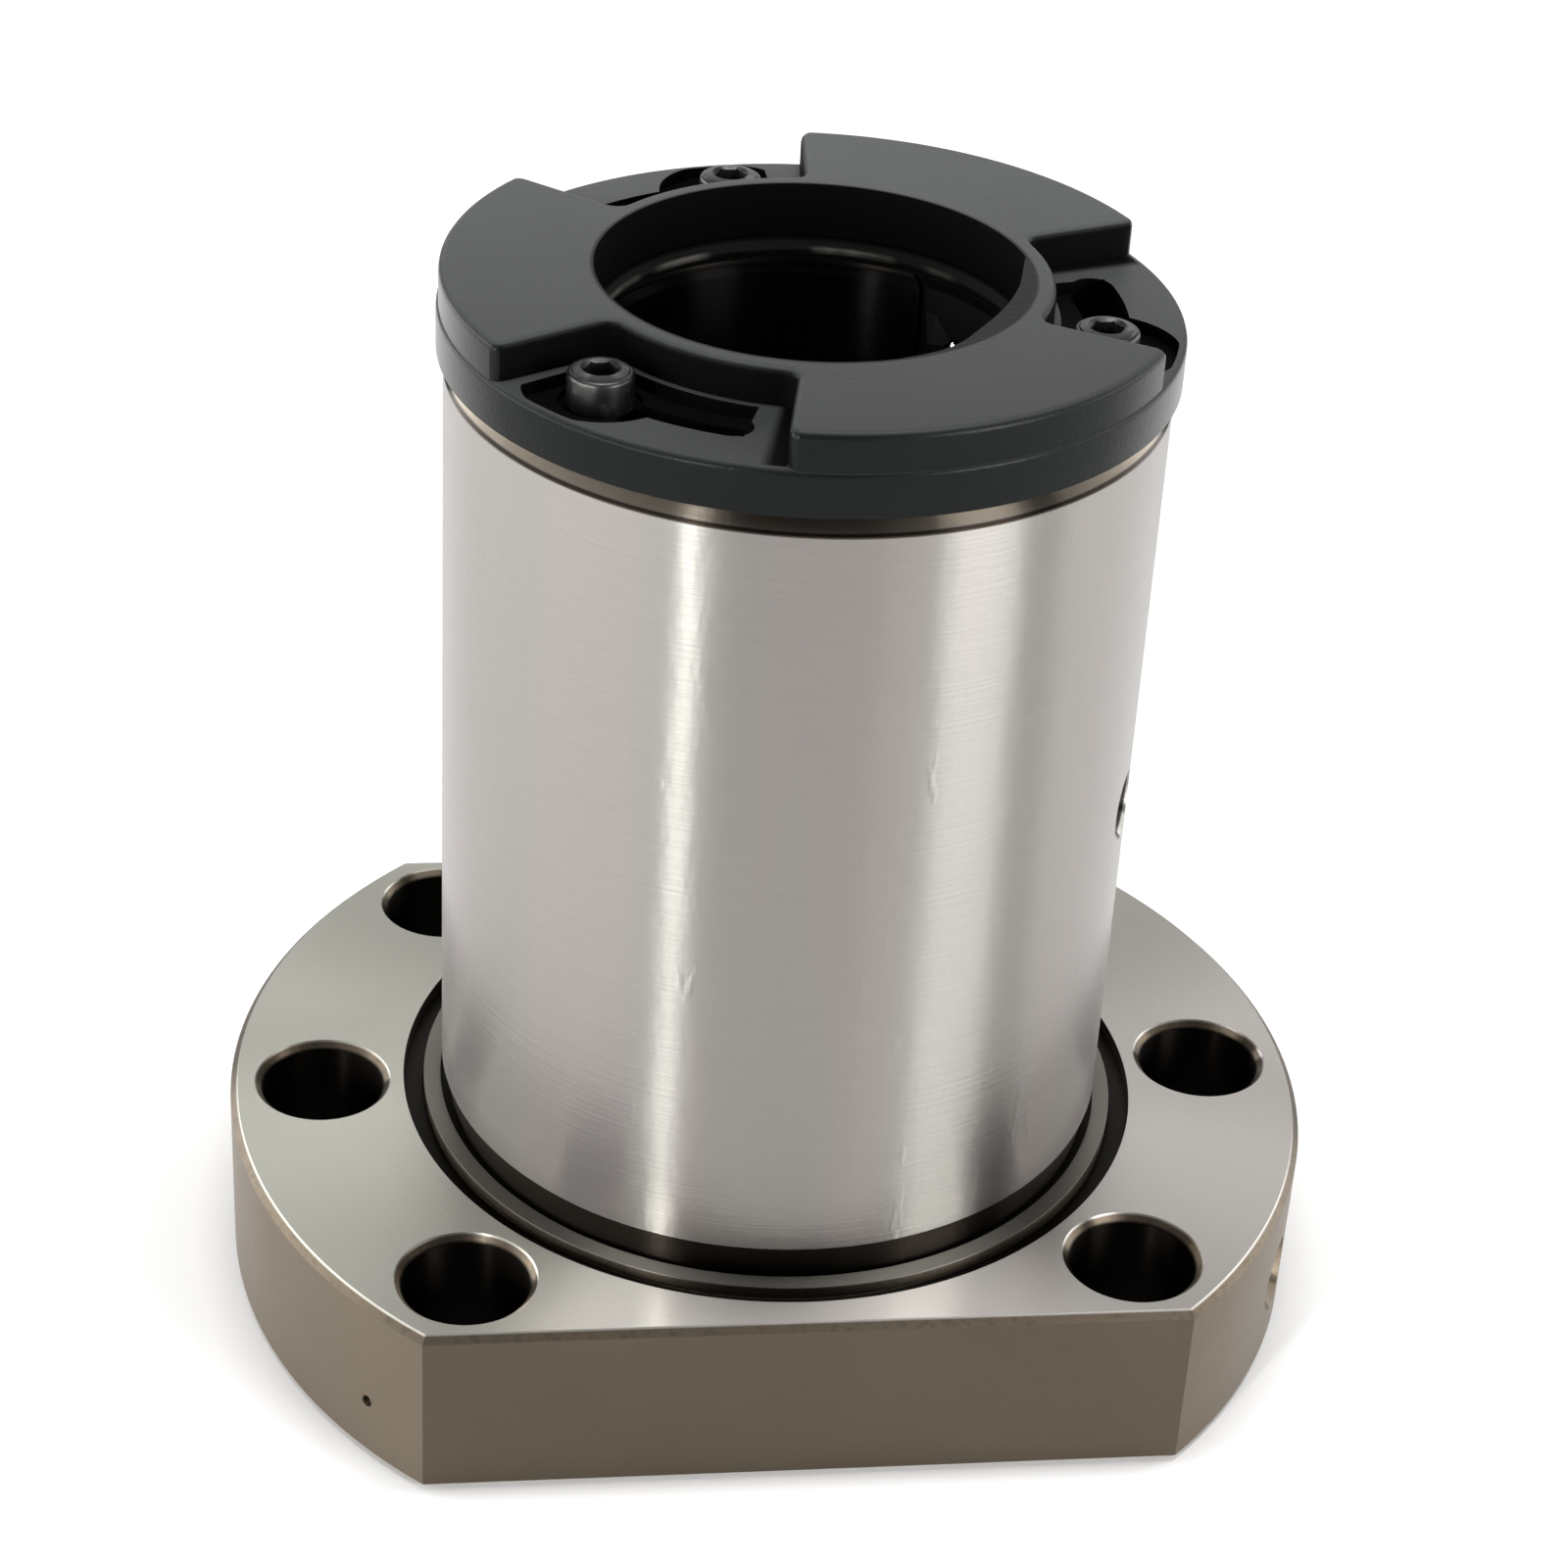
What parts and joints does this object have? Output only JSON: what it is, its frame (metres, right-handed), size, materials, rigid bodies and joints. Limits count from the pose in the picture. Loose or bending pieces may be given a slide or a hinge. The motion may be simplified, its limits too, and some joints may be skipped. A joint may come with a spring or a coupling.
{
  "type": "ball screw nut",
  "caption": "Flanged ball screw nut: ground steel cylinder on a flange with two flats and bolt holes, lobed plastic end caps, and balls recirculating through the wall.",
  "frame": {"origin": "on the screw axis, in the plane of the flange's outer face that the nut stands on", "axes": "+Z runs along the screw axis from the flange to the far end cap, +X lies along the long way of the flange, parallel to its two flats, and the lubrication port is on the +X side"},
  "size_m": [0.059, 0.044, 0.058],
  "materials": {
    "ground_steel": "ground cylinder, satin turned and milled flange",
    "cap_plastic": "matte charcoal moulding",
    "wiper_plastic": "matte dark moulding",
    "deflector_plastic": "matte charcoal moulding",
    "screw_steel": "dark oxide",
    "ball_steel": "polished"
  },
  "bodies": {
    "root": {"nut_body": "ground_steel", "end_cap_outer": "cap_plastic", "end_cap_flange": "cap_plastic", "wiper_outer": "wiper_plastic", "wiper_flange": "wiper_plastic", "deflector_outer": "deflector_plastic", "deflector_flange": "deflector_plastic", "cap_screw_outer_1": "screw_steel", "cap_screw_outer_2": "screw_steel", "cap_screw_outer_3": "screw_steel", "cap_screw_flange_1": "screw_steel", "cap_screw_flange_2": "screw_steel", "cap_screw_flange_3": "screw_steel", "ball_train_turn_1": "ball_steel", "ball_train_turn_2": "ball_steel", "ball_train_turn_3": "ball_steel", "ball_train_turn_4": "ball_steel", "ball_train_outer_bend": "ball_steel", "ball_train_passage": "ball_steel", "ball_train_flange_bend": "ball_steel"}
  },
  "joints": []
}
